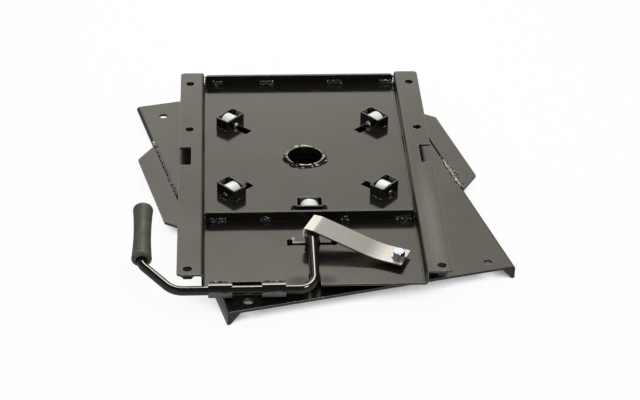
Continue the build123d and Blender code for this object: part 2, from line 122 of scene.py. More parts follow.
# Roller axles
AXLE_R = 4.0 * MM
AXLE_HEAD_R = 6.0 * MM
AXLE_HEAD = 4.0 * MM
AXLE_SEGMENTS = 48
RIVET_HEAD_R = 5.25 * MM
RIVET_HEAD = 2.5 * MM
DOME_RIM = 0.25  # upright share of a domed head
DOME_ARC = math.radians(87)  # short of the middle, where a ring would have no size
DOME_STEPS = 8

# Pivot tube and its turned-over rim, where marks round the rim are (angles, spread) in degrees
PIVOT_BORE_R = 25.0 * MM
PIVOT_R = 28.0 * MM
RIM_SEGMENTS = 240
RIM_MERGE = 1e-7  # vertices this close become one
RIM_RISE = 3.2 * MM  # rim above the tray floor
RIM_GAP = 0.3 * MM  # between the floor and the rim's lower face
RIM_REACH = 3.2 * MM
EARS = ((191, 341), 14)
EAR_REACH = 6.0 * MM
FRONT_PETALS = ((235, 312), 30)
FRONT_REACH = 1.5 * MM  # more than elsewhere
SLITS = ((58, 104, 178, 217, 246, 294, 354), 2.5)
SLIT_SHARE = 0.8  # of the reach
SLIT_DENTS = (SLITS[0], 3.0)  # the crown above them
DENTS = ((130, 154, 237, 3), 9.0)  # where the crown is beaten in
DENT_DEPTH = 1.2 * MM
LIFTS = ((232, 331), 11)  # where the rim's edge stands up
LIFT_RISE = 1.4 * MM
FLATS = ((89, 113), 14)  # where the rim is beaten down flat
CROWN_DROP = 0.2 * MM  # mean of its waves below the highest place
CROWN_WAVES = ((0.1 * MM, 8, 0.6), (0.1 * MM, 2, 0.6))  # height, number round the rim and phase
REACH_WAVES = ((0.4 * MM, 7, 1.0), (0.25 * MM, 13, 0.0))
SHOULDER_WAVES = ((0.3 * MM, 6, 2.0),)
EDGE_WAVES = ((0.2 * MM, 9, 0.0),)
SHOULDER_RISE = 1.3 * MM  # above the rim's lower face
SHOULDER_DROP = 0.3 * MM  # below the crown where flat
SHOULDER_SHARE = (0.6, 0.25)  # of the reach, and more of it where flat
EDGE_RISE = 0.4 * MM
EDGE_DROP = 0.9 * MM
BROW_IN = 1.3 * MM  # outer edge of the crown, inside the tube's outer face
BROW_DROP = 0.1 * MM
BROW_OUT = (1.1 * MM, 0.6)  # further out where flat: a length and a share of the reach
MOUTH_ROUND = ((0.8 * MM, 0.0), (0.4 * MM, 0.3 * MM), (0.0, 1.0 * MM))  # outside the bore, below the crown

# Lever, as it lies at rest
LEVER_AXIS = Vector(JOINTS["lever_lift"]["pos_m"])
LEVER_RISE = Matrix.Rotation(math.radians(10.5), 4, "X")
GRIP_X = (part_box("lever_grip")[0].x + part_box("lever_grip")[1].x) / 2
GRIP_NEAR = 58.0 * MM  # lever axis to the near end of the grip
GRIP_LENGTH = 101.0 * MM
GRIP_END_R = 14.25 * MM
GRIP_WAIST_R = 12.0 * MM
GRIP_ROUND = 4.0 * MM
GRIP_BORE_R = 6.4 * MM
GRIP_MOUTH_R = 8.25 * MM
GRIP_MOUTH_DEPTH = 5.0 * MM
GRIP_STEPS = 90
GRIP_SEGMENTS = 72
GROOVE_AT = 9.0 * MM  # shallow groove behind the collar of the grip
GROOVE_WIDTH = 1.2 * MM
GROOVE_DEPTH = 0.7 * MM

# Leaf spring and its bolt
SPRING_END = Vector((125.0, -277.0, 0.0)) * MM
SPRING_TURN = Matrix.Rotation(math.radians(155.0), 4, "Z")
SPRING_WIDTH = 38.0 * MM
SPRING_THICK = 2.5 * MM
SPRING_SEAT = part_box("leaf_spring")[0].z
SPRING_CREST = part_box("leaf_spring")[1].z - SPRING_THICK
SPRING_KNEE = 40.0 * MM
SPRING_KNEE_R = 140.0 * MM
SPRING_CREASE = 130.0 * MM
SPRING_CREASE_R = 26.0 * MM
SPRING_LENGTH = 141.5 * MM
SPRING_LIP = 11.0 * MM
SPRING_LIP_R = 1.5 * MM
SPRING_EDGE = 0.35 * MM
SPRING_STEP = 2.5 * MM
CORNER_STEPS = 6  # at the least
BOLT_INSET = 10.5 * MM
BOLT_R = 5.0 * MM
BOLT_FLAT = 8.0 * MM  # middle to a flat of the head
BOLT_HEAD = 6.4 * MM
BOLT_TOP_R = 0.93 * BOLT_FLAT  # flat top of the head
BOLT_FACE_R = 0.80 * BOLT_FLAT  # ring inside it
BOLT_BEVEL = math.radians(30)
BOLT_SEGMENTS = 72

# Welds, where stitches and seams run between places in mm
BEAD_PITCH = 2.2 * MM
BEAD_WANDER = (0.9 * MM, 0.9 * MM / 2, 0.9 * MM)
BEAD_VARY = (0.82, 1.15)  # least and most of a drop's size
BEAD_VOXEL = 0.5 * MM
REAR_STITCHES = ((-135, -121), (-61, -41), (45, 66), (127, 143))
FRONT_STITCHES = ((-141, -119), (-67, -56), (46, 51), (122, 140))
STITCH_LAYERS = ((1.0 * MM, 3.0 * MM), (5.0 * MM, 2.2 * MM))  # height on a cross bar and bead radius
BAR_END_BEAD = 1.5 * MM
BAR_END_INSET = (2.0 * MM, 2.5 * MM)  # from a bar's foot and from its top
HOUSING_BEAD = 1.8 * MM
HOUSING_INSET = 4.0 * MM  # from a housing's corners
CENTRE_BEAD = 4.6 * MM  # the fattest of the housing welds, at the front centre; black, and partly a dark stand-in for shade beside that housing
CENTRE_OUTSET = 1.6 * MM
BEARING_LAYERS = ((2.5 * MM, 3.0 * MM), (5.0 * MM, 3.3 * MM), (-5.0 * MM, 2.6 * MM))  # height and bead radius
BEARING_INSET = 4.0 * MM
BEARING_OUTSET = 1.0 * MM
SEAM_INSET = 2.2 * MM
SEAM_DEPTH = 1.2 * MM
PAINTED_SEAMS = ((-1, 116, -32, 2.3 * MM),)  # side, first and last place, and bead radius
BARE_SEAMS = ((1, -45, -120, 3.2 * MM), (-1, 121, 115, 3.0 * MM))
SPECK = 0.9 * MM
SPECK_PITCH = 3.0 * MM
SPECK_WANDER = (5.5 * MM, 3.0 * MM, 0.1 * MM)
SPECK_VOXEL = 0.25 * MM
SPECK_LINES = (
    ((SEAM_X, -30 * MM, PLATE_TOP), (SEAM_X, -118 * MM, PLATE_TOP)),
    ((221 * MM, 18 * MM, PLATE_TOP - 0.5 * MM), (225 * MM, 14 * MM, PLATE_TOP - 0.5 * MM)),
)
NECK_BEAD = 2.6 * MM  # bead radius down the blade's neck
NECK_BEAD_X = 7.6 * MM
NECK_BEAD_FOOT = 4.0 * MM
NECK_BEAD_LEFT_TOP = 10.5 * MM
NECK_BEAD_INSET = 1.0 * MM  # of the right one, from the blade's top

# Colours and gloss, where gloss is a range of roughness
PAINT_BLACK = (0.005, 0.005, 0.0047, 1.0)
PAINT_IOR = 1.95
PAINT_SHEEN = (1.0, 0.925, 0.74, 1.0)
PAINT_PEEL = 0.06
WET_ROUGH = 0.08
DULL_ROUGH = 0.6
DUST = (0.30, 0.285, 0.25, 1.0)
DRY_SPRAY = (0.42, 0.41, 0.43, 1.0)
DRY_EDGE = (6.0 * MM, 3.5 * MM)  # heights on a bearing with none and all of the dry spray
DRY_RAGGED = 4.0 * MM
DRY_GRAINS = (0.03, 0.45)
# pale colour for painted highlight on sheet edges, and for the patches of painted light below
PAINTED_LIGHT = (0.50, 0.48, 0.43, 1.0)
# pale spots of the bare welds: bare metal and painted glints
SPATTER_AND_GLINT = (0.66, 0.61, 0.51, 1.0)
# bright spots of the painted welds: painted glints
PAINTED_GLINT = (0.78, 0.80, 0.84, 1.0)
WELD_GLOSS = (0.06, 0.24)
BARE_FADE = 0.05
STEEL_LIGHT = (0.72, 0.675, 0.60, 1.0)
STEEL_DARK = (0.60, 0.565, 0.50, 1.0)
STEEL_GLOSS = (0.26, 0.17)
GROUND_STEEL = (0.93, 0.92, 0.90, 1.0)
GROUND_FADE = 2.0 * MM
ZINC_LIGHT = (0.80, 0.83, 0.88, 1.0)
ZINC_DARK = (0.50, 0.53, 0.58, 1.0)
NYLON = (0.84, 0.84, 0.82, 1.0)
NYLON_SCUFF = (0.60, 0.60, 0.58, 1.0)
NYLON_GLOSS = (0.30, 0.48)
FOAM_LIGHT = (0.100, 0.091, 0.064, 1.0)
FOAM_DARK = (0.060, 0.055, 0.040, 1.0)
FOAM_GLOSS = (0.48, 0.60)
FOAM_IOR = 1.55

# Patches as (place, reach, pale, dull, speckle): painted highlight and reflection, with duller gloss
# paler, duller band on the right rail's front: painted reflection and duller gloss
RAIL_BAND = ((0.166, -0.215, 0.019), (0.016, 0.19, 0.01), 0.22, 0.3, 0.9)
# painted highlights on the lock slot's rear edge and round its left end
SLOT_HIGHLIGHTS = (
    ((-0.020, -0.2240, 0.0), (0.020, 0.0022, 0.002), 0.9, 0.0, 0.3),
    ((-0.0262, -0.2225, 0.0), (0.0030, 0.0040, 0.002), 1.0, 0.0, 0.2),
    ((-0.0255, -0.2140, 0.0), (0.0028, 0.0040, 0.002), 1.0, 0.0, 0.2),
)
# painted highlight round the pivot rim's crown
RIM_HIGHLIGHT = ((0.0, 0.0, 0.0033), (0.2, 0.2, 0.0010), 1.0, 0.0, 0.5)
# painted glints on the rim's front petals
PETAL_GLINTS = (
    ((-0.0045, -0.0315, 0.0010), (0.0030, 0.0016, 0.0014), 1.0, 0.0, 0.2),
    ((0.0105, -0.0300, 0.0010), (0.0024, 0.0016, 0.0014), 0.6, 0.0, 0.3),
)

# Bows, where the sheet or bead isn't flat, as (place, reach, lean, speckle)
WALL_BOW = ((0.150, -0.270, 0.0095), (0.012, 0.26, 0.0075), (0.0, -0.35, 0.0), 0.0)
ARM_SOOT = (  # dark specks beside the lever arm
    ((-0.020, -0.316, 0.0), (0.024, 0.014, 0.005), (0.40, 0.0, 0.0), 1.0),
    ((0.015, -0.314, 0.0), (0.018, 0.013, 0.005), (0.40, 0.0, 0.0), 1.0),
)
FRONT_BOW = ((-0.10, -0.355, PLATE_TOP), (0.22, 0.09, 0.02), (0.0, 0.20, 0.0), 0.0)
FOOT_BOW = ((0.0, -0.146, 0.004), (0.08, 0.08, 0.03), (0.0, -1.2, 0.0), 0.0)
PETAL_BOW = ((0.0, -0.014, 0.0010), (0.05, 0.03, 0.0024), (0.0, -0.8, 0.0), 0.0)


# Node tree helpers

def feed(tree, node, inputs):
    """Sets each input of a node to a value, or links it to a socket."""
    for name, value in inputs.items():
        if isinstance(value, bpy.types.NodeSocket):
            tree.links.new(value, node.inputs[name])
        else:
            node.inputs[name].default_value = value


def add(tree, kind, inputs=None, **settings):
    """A node with its settings made and its inputs fed."""
    node = tree.nodes.new(kind)
    for name, value in settings.items():
        setattr(node, name, value)
    feed(tree, node, inputs or {})
    return node


def group_tree(name, kind, inputs, outputs):
    """An empty node group with its sockets, what is given to it, and its output node."""
    tree = bpy.data.node_groups.new(name, kind)
    for label, socket_kind, default in inputs:
        socket = tree.interface.new_socket(label, in_out="INPUT", socket_type=socket_kind)
        if default is not None:
            socket.default_value = default
    for label, socket_kind in outputs:
        tree.interface.new_socket(label, in_out="OUTPUT", socket_type=socket_kind)
    return tree, tree.nodes.new("NodeGroupInput").outputs, tree.nodes.new("NodeGroupOutput")


def math_node(tree, operation, *values, clamp=False):
    """Result of a sum on values or sockets."""
    sums = dict(enumerate(values))
    return add(tree, "ShaderNodeMath", sums, operation=operation, use_clamp=clamp).outputs[0]


def vector_node(tree, operation, *vectors, output="Vector"):
    """Result of a sum on vectors or sockets."""
    sums = dict(enumerate(vectors))
    return add(tree, "ShaderNodeVectorMath", sums, operation=operation).outputs[output]


def parts(tree, vector):
    """The X, Y and Z of a vector."""
    return add(tree, "ShaderNodeSeparateXYZ", {0: vector}).outputs


def remap(tree, value, low, high, to_low=0.0, to_high=1.0):
    """Value mapped from one range to another and kept inside it."""
    node = add(
        tree, "ShaderNodeMapRange",
        {"Value": value, "From Min": low, "From Max": high, "To Min": to_low, "To Max": to_high},
    )
    return node.outputs["Result"]


def noise(tree, vector, scale, detail=2.0, roughness=0.5):
    """Soft noise from 0 to 1."""
    node = add(
        tree, "ShaderNodeTexNoise",
        {"Vector": vector, "Scale": scale, "Detail": detail, "Roughness": roughness},
    )
    return node.outputs["Fac"]


def blend_colours(tree, factor, first, second):
    """Colour between two colours or sockets."""
    return add(tree, "ShaderNodeMix", {0: factor, 6: first, 7: second}, data_type="RGBA").outputs[2]


def blend_values(tree, factor, first, second):
    """Value between two values or sockets."""
    return add(tree, "ShaderNodeMix", {0: factor, 2: first, 3: second}).outputs[0]


def bumped(tree, height, strength, distance, **normal):
    """Normal after a fine relief, on top of another normal where one is given as Normal."""
    relief = {"Strength": strength, "Distance": distance, "Height": height}
    return add(tree, "ShaderNodeBump", relief | normal).outputs["Normal"]


# Shared surface effects

def soft_edges():
    """Rounds sharp sheet edges in the shading and says where they are."""
    tree, given, out = group_tree(
        "Soft Edges", "ShaderNodeTree",
        [("Radius", "NodeSocketFloat", 0.6 * MM)],
        [("Normal", "NodeSocketVector"), ("Mask", "NodeSocketFloat")],
    )
    rounded = add(tree, "ShaderNodeBevel", {"Radius": given["Radius"]}, samples=4).outputs["Normal"]
    flat = add(tree, "ShaderNodeNewGeometry").outputs["Normal"]
    along = vector_node(tree, "DOT_PRODUCT", rounded, flat, output="Value")
    feed(tree, out, {"Normal": rounded, "Mask": remap(tree, along, 0.998, 0.94)})
    return tree


def paint_film():
    """Clouds in the gloss of sprayed paint, and its fine orange peel."""
    tree, given, out = group_tree(
        "Paint Film", "ShaderNodeTree",
        [("Vector", "NodeSocketVector", None), ("Patch Scale", "NodeSocketFloat", 14.0),
         ("Peel Scale", "NodeSocketFloat", 420.0)],
        [("Haze", "NodeSocketFloat"), ("Peel", "NodeSocketFloat")],
    )
    broad = noise(tree, given["Vector"], given["Patch Scale"], detail=3.0)
    fine = noise(tree, given["Vector"], math_node(tree, "MULTIPLY", given["Patch Scale"], 9.0))
    clouds = math_node(tree, "MULTIPLY_ADD", fine, 0.35, broad)
    peel = noise(tree, given["Vector"], given["Peel Scale"], detail=1.0)
    feed(tree, out, {"Haze": remap(tree, clouds, 0.45, 0.90), "Peel": peel})
    return tree


def settled_dust():
    """Specks and film that lie on faces that look up."""
    tree, given, out = group_tree(
        "Settled Dust", "ShaderNodeTree",
        [("Vector", "NodeSocketVector", None), ("Speck Scale", "NodeSocketFloat", 900.0),
         ("Cover", "NodeSocketFloat", 0.3)],
        [("Mask", "NodeSocketFloat")],
    )
    facing = remap(tree, parts(tree, add(tree, "ShaderNodeNewGeometry").outputs["Normal"])["Z"], 0.3, 0.9)
    specks = remap(tree, noise(tree, given["Vector"], given["Speck Scale"], detail=1.0), 0.66, 0.76)
    film = remap(tree, noise(tree, given["Vector"], scale=22.0, detail=4.0), 0.35, 0.8)
    lying = math_node(tree, "MULTIPLY", math_node(tree, "MULTIPLY_ADD", film, 0.4, specks), facing)
    feed(tree, out, {"Mask": math_node(tree, "MULTIPLY", lying, given["Cover"], clamp=True)})
    return tree


def spray_patch():
    """A soft speckled patch about a place, such as overspray or a handled spot."""
    tree, given, out = group_tree(
        "Spray Patch", "ShaderNodeTree",
        [("Vector", "NodeSocketVector", None), ("Place", "NodeSocketVector", None),
         ("Reach", "NodeSocketVector", None), ("Speckle", "NodeSocketFloat", 0.7)],
        [("Mask", "NodeSocketFloat")],
    )
    away = vector_node(tree, "SUBTRACT", given["Vector"], given["Place"])
    share = vector_node(tree, "DIVIDE", away, given["Reach"])
    body = remap(tree, vector_node(tree, "LENGTH", share, output="Value"), 1.0, 0.25)
    grains = noise(tree, given["Vector"], scale=700.0, detail=3.0, roughness=0.7)
    broken = blend_values(tree, given["Speckle"], 1.0, remap(tree, grains, 0.35, 0.7))
    feed(tree, out, {"Mask": math_node(tree, "MULTIPLY", body, broken, clamp=True)})
    return tree


def brush_lines():
    """Long streaks that follow the first axis of the map."""
    tree, given, out = group_tree(
        "Brush Lines", "ShaderNodeTree",
        [("Vector", "NodeSocketVector", None), ("Along", "NodeSocketFloat", 12.0),
         ("Across", "NodeSocketFloat", 1500.0)],
        [("Streak", "NodeSocketFloat")],
    )
    scales = {"X": given["Along"], "Y": given["Across"], "Z": given["Along"]}
    stretch = add(tree, "ShaderNodeCombineXYZ", scales).outputs[0]
    drawn = vector_node(tree, "MULTIPLY", given["Vector"], stretch)
    feed(tree, out, {"Streak": noise(tree, drawn, scale=1.0, detail=4.0, roughness=0.65)})
    return tree


SOFT_EDGES = soft_edges()
PAINT_FILM = paint_film()
SETTLED_DUST = settled_dust()
SPRAY_PATCH = spray_patch()
BRUSH_LINES = brush_lines()


# Materials

def material(name, chart="Object"):
    """A new material with its tree, its principled shader and the places on its surface."""
    made = bpy.data.materials.new(name)
    made.use_nodes = True
    tree = made.node_tree
    spot = add(tree, "ShaderNodeTexCoord").outputs[chart]
    return made, tree, tree.nodes["Principled BSDF"], spot


def place(tree, group, inputs):
    """A shared effect in a material, with its own values."""
    return add(tree, "ShaderNodeGroup", inputs, node_tree=group).outputs


def clouded(tree, film, gloss):
    """Roughness that follows the clouds of a film."""
    return remap(tree, film["Haze"], 0.0, 1.0, *gloss)


def patch_mask(tree, spot, where, reach, speckle):
    """Where a spray patch lies."""
    values = {"Vector": spot, "Place": where, "Reach": reach, "Speckle": speckle}
    return place(tree, SPRAY_PATCH, values)["Mask"]


def black_paint(name, gloss, dust, edge=1.0 * MM, edge_highlight=0.1, patches=(), bows=()):
    """Sprayed gloss black: clouded gloss, orange peel, soft edges with painted highlight and a little dust.
    """
    made, tree, shader, spot = material(name)
    film = place(tree, PAINT_FILM, {"Vector": spot})
    edges = place(tree, SOFT_EDGES, {"Radius": edge})
    lying = place(tree, SETTLED_DUST, {"Vector": spot, "Cover": dust})
    colour = blend_colours(tree, lying["Mask"], PAINT_BLACK, DUST)
    # painted highlight along sheet edges
    colour = blend_colours(tree, math_node(tree, "MULTIPLY", edges["Mask"], edge_highlight), colour, PAINTED_LIGHT)
    rough = clouded(tree, film, gloss)
    # patches of painted light, with duller gloss
    for where, reach, pale, dull, speckle in patches:
        mask = patch_mask(tree, spot, where, reach, speckle)
        colour = blend_colours(tree, math_node(tree, "MULTIPLY", mask, pale), colour, PAINTED_LIGHT)
        rough = blend_values(tree, math_node(tree, "MULTIPLY", mask, dull), rough, DULL_ROUGH)
    normal = edges["Normal"]
    for where, reach, lean, speckle in bows:
        push = vector_node(tree, "MULTIPLY", lean, patch_mask(tree, spot, where, reach, speckle))
        normal = vector_node(tree, "NORMALIZE", vector_node(tree, "ADD", normal, push))
    feed(tree, shader, {
        "Base Color": colour,
        "Roughness": rough,
        "Normal": bumped(tree, film["Peel"], strength=PAINT_PEEL, distance=0.2 * MM, Normal=normal),
        "IOR": PAINT_IOR,
        "Specular Tint": PAINT_SHEEN,
    })
    return made


def bearing_paint():
    """Gloss black above, dry rough spray on the lower half that the spray gun only grazed."""
    made, tree, shader, spot = material("bearing_paint")
    film = place(tree, PAINT_FILM, {"Vector": spot, "Patch Scale": 70.0, "Peel Scale": 900.0})
    ragged = math_node(tree, "MULTIPLY", film["Haze"], DRY_RAGGED)
    dry = remap(tree, math_node(tree, "ADD", parts(tree, spot)["Z"], ragged), *DRY_EDGE)
    grains = remap(tree, noise(tree, spot, scale=650.0, detail=3.0, roughness=0.7), 0.3, 0.7, *DRY_GRAINS)
    edges = place(tree, SOFT_EDGES, {"Radius": 0.6 * MM})
    peel = math_node(tree, "MULTIPLY", dry, film["Peel"])
    feed(tree, shader, {
        "Base Color": blend_colours(tree, math_node(tree, "MULTIPLY", dry, grains), PAINT_BLACK, DRY_SPRAY),
        "Roughness": blend_values(tree, dry, WET_ROUGH, DULL_ROUGH),
        "Normal": bumped(tree, peel, strength=0.3, distance=0.3 * MM, Normal=edges["Normal"]),
        "IOR": PAINT_IOR,
        "Specular Tint": PAINT_SHEEN,
    })
    return made


def weld_paint(name, bare, bright):
    """Paint over rough weld metal, with bright spots where the crust stands above the bare level: painted
    glints, also bare metal on bare welds.
    """
    made, tree, shader, spot = material(name)
    film = place(tree, PAINT_FILM, {"Vector": spot, "Patch Scale": 60.0, "Peel Scale": 1100.0})
    crust = noise(tree, spot, scale=420.0, detail=3.0, roughness=0.6)
    # bright spots: painted glints, and bare metal on bare welds
    shown = remap(tree, crust, bare, bare + BARE_FADE)
    feed(tree, shader, {
        "Base Color": blend_colours(tree, shown, PAINT_BLACK, bright),
        "Roughness": clouded(tree, film, WELD_GLOSS),
        "Normal": bumped(tree, crust, strength=0.35, distance=0.5 * MM),
        "IOR": PAINT_IOR,
    })
    return made


def brushed_steel():
    """Bare spring steel with grinding lines along its length, and a pale ground lip."""
    made, tree, shader, spot = material("brushed_steel", "UV")
    fine = place(tree, BRUSH_LINES, {"Vector": spot})["Streak"]
    broad = place(tree, BRUSH_LINES, {"Vector": spot, "Along": 5.0, "Across": 160.0})["Streak"]
    tone = math_node(tree, "MULTIPLY_ADD", fine, 0.5, math_node(tree, "MULTIPLY", broad, 0.5))
    colour = blend_colours(tree, remap(tree, tone, 0.35, 0.65), STEEL_DARK, STEEL_LIGHT)
    ground = remap(tree, parts(tree, spot)["X"], SPRING_LENGTH, SPRING_LENGTH + GROUND_FADE)
    feed(tree, shader, {
        "Base Color": blend_colours(tree, ground, colour, GROUND_STEEL),
        "Roughness": remap(tree, tone, 0.3, 0.7, *STEEL_GLOSS),
        "Metallic": remap(tree, ground, 0.0, 1.0, 1.0, 0.0),
        "Normal": bumped(tree, fine, strength=0.12, distance=0.05 * MM),
    })
    return made


def zinc_plate(name, gloss):
    """Bright zinc with a cloudy blue film."""
    made, tree, shader, spot = material(name)
    film = place(tree, PAINT_FILM, {"Vector": spot, "Patch Scale": 110.0, "Peel Scale": 1600.0})
    edges = place(tree, SOFT_EDGES, {"Radius": 0.3 * MM})
    feed(tree, shader, {
        "Base Color": blend_colours(tree, film["Haze"], ZINC_LIGHT, ZINC_DARK),
        "Roughness": clouded(tree, film, gloss),
        "Metallic": 1.0,
        "Normal": bumped(tree, film["Peel"], strength=0.08, distance=0.1 * MM, Normal=edges["Normal"]),
    })
    return made


def white_nylon():
    """Moulded nylon, scuffed where it rolls."""
    made, tree, shader, spot = material("white_nylon")
    film = place(tree, PAINT_FILM, {"Vector": spot, "Patch Scale": 90.0, "Peel Scale": 1300.0})
    scuff = remap(tree, film["Haze"], 0.4, 1.0, 0.0, 0.45)
    feed(tree, shader, {
        "Base Color": blend_colours(tree, scuff, NYLON, NYLON_SCUFF),
        "Roughness": clouded(tree, film, NYLON_GLOSS),
        "Normal": bumped(tree, film["Peel"], strength=0.06, distance=0.1 * MM),
    })
    return made


def foam_rubber():
    """Closed-cell foam: matt, with fine pores and faint rubbed patches."""
    made, tree, shader, spot = material("foam_rubber")
    film = place(tree, PAINT_FILM, {"Vector": spot, "Patch Scale": 45.0, "Peel Scale": 900.0})
    pores = add(tree, "ShaderNodeTexVoronoi", {"Vector": spot, "Scale": 1100.0}).outputs["Distance"]
    feed(tree, shader, {
        "Base Color": blend_colours(tree, film["Haze"], FOAM_LIGHT, FOAM_DARK),
        "Roughness": clouded(tree, film, FOAM_GLOSS),
        "Normal": bumped(tree, pores, strength=0.25, distance=0.25 * MM),
        "IOR": FOAM_IOR,
    })
    return made


TRAY_PAINT = black_paint(
    "tray_paint", gloss=(0.09, 0.17), dust=0.03, edge_highlight=0.8, patches=(RAIL_BAND, *SLOT_HIGHLIGHTS),
    bows=(WALL_BOW, *ARM_SOOT),
)
BASE_PAINT = black_paint("base_paint", gloss=(0.12, 0.22), dust=0.03, edge_highlight=0.6, bows=(FRONT_BOW,))
PART_PAINT = black_paint("part_paint", gloss=(0.08, 0.16), dust=0.03, edge=0.7 * MM, edge_highlight=0.5)
FOOT_PAINT = black_paint("foot_paint", gloss=(0.08, 0.16), dust=0.0, edge_highlight=0.0, bows=(FOOT_BOW,))
RIM_PAINT = black_paint(
    "rim_paint", gloss=(0.06, 0.14), dust=0.0, edge=0.6 * MM, edge_highlight=0.3, patches=(RIM_HIGHLIGHT, *PETAL_GLINTS),
    bows=(PETAL_BOW,),
)
BAR_PAINT = black_paint("lever_paint", gloss=(0.05, 0.09), dust=0.0, edge=0.4 * MM)
NUT_PAINT = black_paint("nut_paint", gloss=(0.45, 0.60), dust=0.0, edge=0.4 * MM)
BEARING_PAINT = bearing_paint()
WELD_PAINT_GLINTS = weld_paint("weld_paint", 0.615, PAINTED_GLINT)
BARE_WELD_AND_GLINT = weld_paint("bare_weld_and_glint", 0.50, SPATTER_AND_GLINT)
STEEL = brushed_steel()
ZINC = zinc_plate("zinc_plate", gloss=(0.16, 0.34))
AXLE_ZINC = zinc_plate("axle_zinc", gloss=(0.10, 0.30))
NYLON_FINISH = white_nylon()
FOAM = foam_rubber()


def paint_node(name, finish):
    """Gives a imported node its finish."""
    for slot in NODES[name].material_slots:
        slot.material = finish


def paint_nodes():
    """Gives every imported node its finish, most of them the paint of small parts."""
    for name in NODES:
        paint_node(name, PART_PAINT)
    paint_node("seat_tray", TRAY_PAINT)
    for name in ("base_plate", "wing_left", "wing_right"):
        paint_node(name, BASE_PAINT)
    paint_node("lever_bar", BAR_PAINT)
    paint_node("rail_nuts", NUT_PAINT)
    for side in ("left", "right"):
        paint_node(f"lever_bearing_{side}", BEARING_PAINT)
    for name in ("spring_bolt", "spring_washer", "spring_nut"):
        paint_node(name, ZINC)
    paint_node("leaf_spring", STEEL)
    paint_node("lever_grip", FOAM)
    for station in STATIONS:
        paint_node(f"roller_{station}", NYLON_FINISH)
        paint_node(f"roller_axle_{station}", AXLE_ZINC)


# Pieces made here

def mesh_piece(name, mesh, finish):
    """An object at the origin from a finished mesh."""
    mesh.name = name
    mesh.materials.clear()
    mesh.materials.append(finish)
    piece = bpy.data.objects.new(name, mesh)
    bpy.context.scene.collection.objects.link(piece)
    return piece


def smooth_mesh(build, sharp=40):
    """A mesh from a bmesh, smooth except at edges sharper than so many degrees."""
    bmesh.ops.recalc_face_normals(build, faces=build.faces)
    mesh = bpy.data.meshes.new("piece")
    build.to_mesh(mesh)
    build.free()
    mesh.shade_smooth()
    mesh.set_sharp_from_angle(angle=math.radians(sharp))
    return mesh


def bridge(build, rings):
    """Faces between rings of vertices that follow each other."""
    for first, second in zip(rings, rings[1:]):
        for index in range(len(first)):
            turn = (index + 1) % len(first)
            build.faces.new((first[index], first[turn], second[turn], second[index]))


def close_ends(build, rings):
    """A face over the first ring and one over the last."""
    build.faces.new(rings[0])
    build.faces.new(rings[-1])


def turned(levels_at, segments, placing):
    """A bmesh about its own Z, set in place, from (radius, height) levels at each angle, and its rings."""
    build = bmesh.new()
    columns = []
    for index in range(segments):
        angle = math.tau * index / segments
        across, along = math.cos(angle), math.sin(angle)
        levels = [Vector((radius * across, radius * along, height)) for radius, height in levels_at(angle)]
        columns.append([build.verts.new(placing @ level) for level in levels])
    rings = list(zip(*columns))
    bridge(build, rings)
    return build, rings


def round_mesh(profile, segments, placing):
    """A closed body of revolution from (radius, height) points."""
    build, rings = turned(lambda angle: profile, segments, placing)
    close_ends(build, rings)
    return smooth_mesh(build)


def rounded_line(corners, radii, step):
    """Points along a flat line, its inner corners rounded and its straights divided by the step."""
    points = [corners[0]]
    for before, corner, after, radius in zip(corners, corners[1:], corners[2:], radii):
        come, leave = (before - corner).normalized(), (after - corner).normalized()
        half = come.angle(leave) / 2
        middle = corner + (come + leave).normalized() * radius / math.sin(half)
        start = corner + come * radius / math.tan(half) - middle
        sweep = start.angle_signed(corner + leave * radius / math.tan(half) - middle)
        count = max(CORNER_STEPS, round(abs(sweep) * radius / step))
        turns = [Matrix.Rotation(-sweep * index / count, 2) for index in range(count + 1)]
        points += [middle + turn @ start for turn in turns]
    points.append(corners[-1])
    line = [points[0]]
    for first, second in zip(points, points[1:]):
        count = max(1, math.ceil((second - first).length / step))
        line += [first.lerp(second, (index + 1) / count) for index in range(count)]
    return line


def leaf_spring():
    """The pressed spring, with a map along its length for the grinding lines."""
    corners = [
        Vector((0.0, SPRING_SEAT)), Vector((SPRING_KNEE, SPRING_SEAT)), Vector((SPRING_CREASE, SPRING_CREST)),
        Vector((SPRING_LENGTH, SPRING_CREST)), Vector((SPRING_LENGTH, SPRING_CREST - SPRING_LIP)),
    ]
    line = rounded_line(corners, (SPRING_KNEE_R, SPRING_CREASE_R, SPRING_LIP_R), SPRING_STEP)
    half, edge = SPRING_WIDTH / 2, SPRING_EDGE
    section = [
        (-half, edge), (-half + edge, 0.0), (half - edge, 0.0), (half, edge),
        (half, SPRING_THICK - edge), (half - edge, SPRING_THICK), (-half + edge, SPRING_THICK),
        (-half, SPRING_THICK - edge),
    ]
    placing = Matrix.Translation(SPRING_END) @ SPRING_TURN
    build = bmesh.new()
    chart = build.loops.layers.uv.new("map")
    rings, lengths, length = [], {}, 0.0
    for index, point in enumerate(line):
        behind = line[max(index - 1, 0)]
        ahead = line[min(index + 1, len(line) - 1)] - behind
        normal = Vector((-ahead.y, ahead.x)).normalized()
        length += (point - behind).length
        ring = []
        for across, up in section:
            spot = point + normal * up
            ring.append(build.verts.new(placing @ Vector((spot.x, -across, spot.y))))
            lengths[ring[-1]] = (length, across + up)
        rings.append(ring)
    bridge(build, rings)
    close_ends(build, rings)
    for face in build.faces:
        for loop in face.loops:
            loop[chart].uv = lengths[loop.vert]
    spring = mesh_piece("leaf_spring_bent", smooth_mesh(build), STEEL)
    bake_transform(spring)
    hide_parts("leaf_spring")


